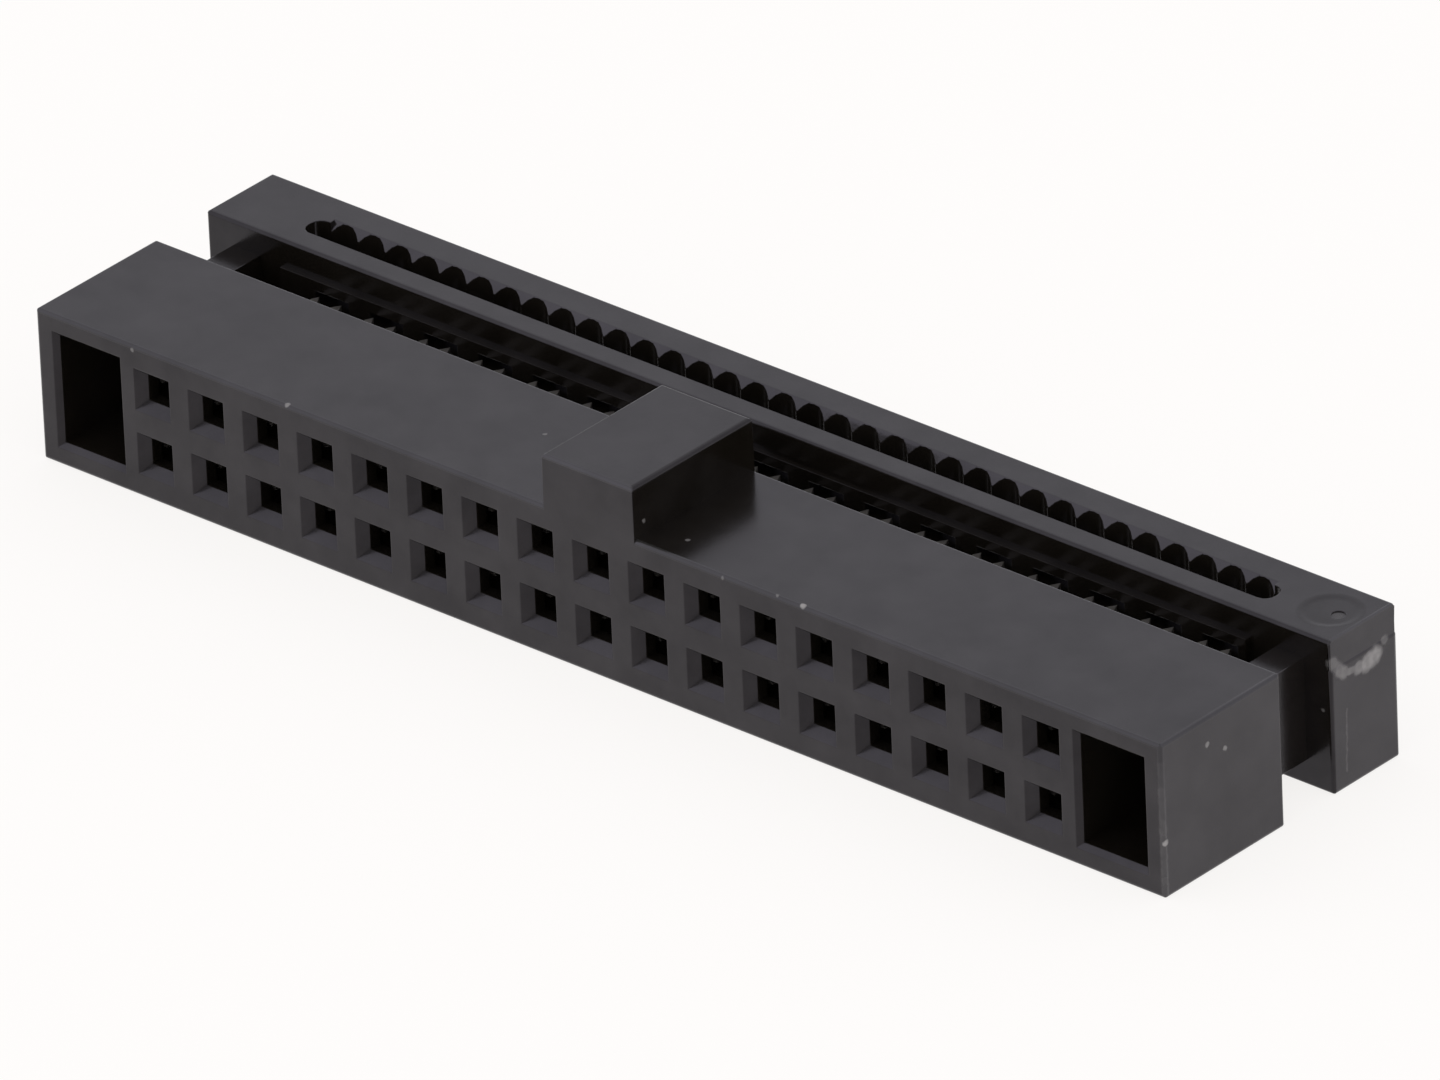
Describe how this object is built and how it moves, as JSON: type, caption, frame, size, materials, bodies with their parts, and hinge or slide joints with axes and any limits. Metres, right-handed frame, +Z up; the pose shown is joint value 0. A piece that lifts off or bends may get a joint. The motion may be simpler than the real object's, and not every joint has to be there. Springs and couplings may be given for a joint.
{
  "type": "insulation displacement connector",
  "caption": "Two-row ribbon cable socket with tapered square pin sockets, a polarising key, end windows and a grooved cable cover standing open on two latch legs.",
  "frame": {"origin": "bottom centre of the part's box with the cover open", "axes": "+X along the contact rows, +Y from the mating face back to the cable cover, +Z up through the polarising key"},
  "size_m": [0.0256, 0.0062, 0.004],
  "materials": {
    "housing_plastic": "glass-filled moulded plastic, black, satin",
    "contact_metal": "stamped copper alloy strip, tin-plated"
  },
  "bodies": {
    "housing": {"housing": "housing_plastic", "contact_upper_01": "contact_metal", "contact_upper_02": "contact_metal", "contact_upper_03": "contact_metal", "contact_upper_04": "contact_metal", "contact_upper_05": "contact_metal", "contact_upper_06": "contact_metal", "contact_upper_07": "contact_metal", "contact_upper_08": "contact_metal", "contact_upper_09": "contact_metal", "contact_upper_10": "contact_metal", "contact_upper_11": "contact_metal", "contact_upper_12": "contact_metal", "contact_upper_13": "contact_metal", "contact_upper_14": "contact_metal", "contact_upper_15": "contact_metal", "contact_upper_16": "contact_metal", "contact_upper_17": "contact_metal", "contact_lower_01": "contact_metal", "contact_lower_02": "contact_metal", "contact_lower_03": "contact_metal", "contact_lower_04": "contact_metal", "contact_lower_05": "contact_metal", "contact_lower_06": "contact_metal", "contact_lower_07": "contact_metal", "contact_lower_08": "contact_metal", "contact_lower_09": "contact_metal", "contact_lower_10": "contact_metal", "contact_lower_11": "contact_metal", "contact_lower_12": "contact_metal", "contact_lower_13": "contact_metal", "contact_lower_14": "contact_metal", "contact_lower_15": "contact_metal", "contact_lower_16": "contact_metal", "contact_lower_17": "contact_metal"},
    "cover": {"cover": "housing_plastic"}
  },
  "joints": [
    {"name": "cover_press", "type": "slide", "parent": "housing", "child": "cover", "axis": [0, -1, 0], "range_m": [0, 0.00128]}
  ]
}
